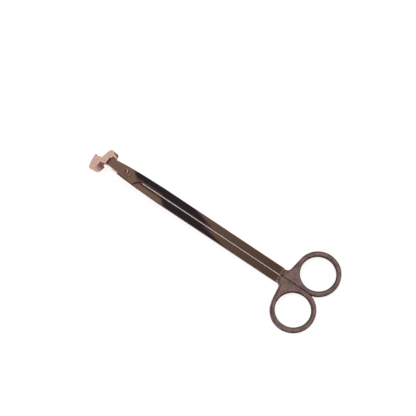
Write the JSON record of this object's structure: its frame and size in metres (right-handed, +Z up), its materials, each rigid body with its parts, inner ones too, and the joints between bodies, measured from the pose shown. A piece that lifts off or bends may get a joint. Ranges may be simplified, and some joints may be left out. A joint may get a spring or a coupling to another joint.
{
  "type": "wick trimmer",
  "caption": "Candle wick trimmer: long riveted scissors with angled half-dish blades that catch the cut wick, and two round finger rings.",
  "frame": {"origin": "on the table under the middle of the tool, which lies shut on the rim of its outer dish and on its two finger rings", "axes": "+X from the blades to the finger rings, +Y towards the upper arm's finger ring, +Z up; the pivot leans 3.82 degrees from +Z towards +X"},
  "size_m": [0.1774, 0.0586, 0.0154],
  "materials": {
    "plated_arm": "mirror-polished steel, dark rose-bronze plating, satin blade faces",
    "plated_handle": "cast, polished and plated dark rose-bronze",
    "plated_rivet": "polished and plated dark rose-bronze"
  },
  "bodies": {
    "lower_half": {"lower_arm": "plated_arm", "lower_handle": "plated_handle", "pivot_rivet": "plated_rivet"},
    "upper_half": {"upper_arm": "plated_arm", "upper_handle": "plated_handle"}
  },
  "joints": [
    {"name": "scissor_pivot", "type": "hinge", "parent": "lower_half", "child": "upper_half", "pos_m": [-0.0624, 0, 0.01219], "axis": [0.0667, 0, 0.9978], "range_deg": [0, 30]}
  ]
}
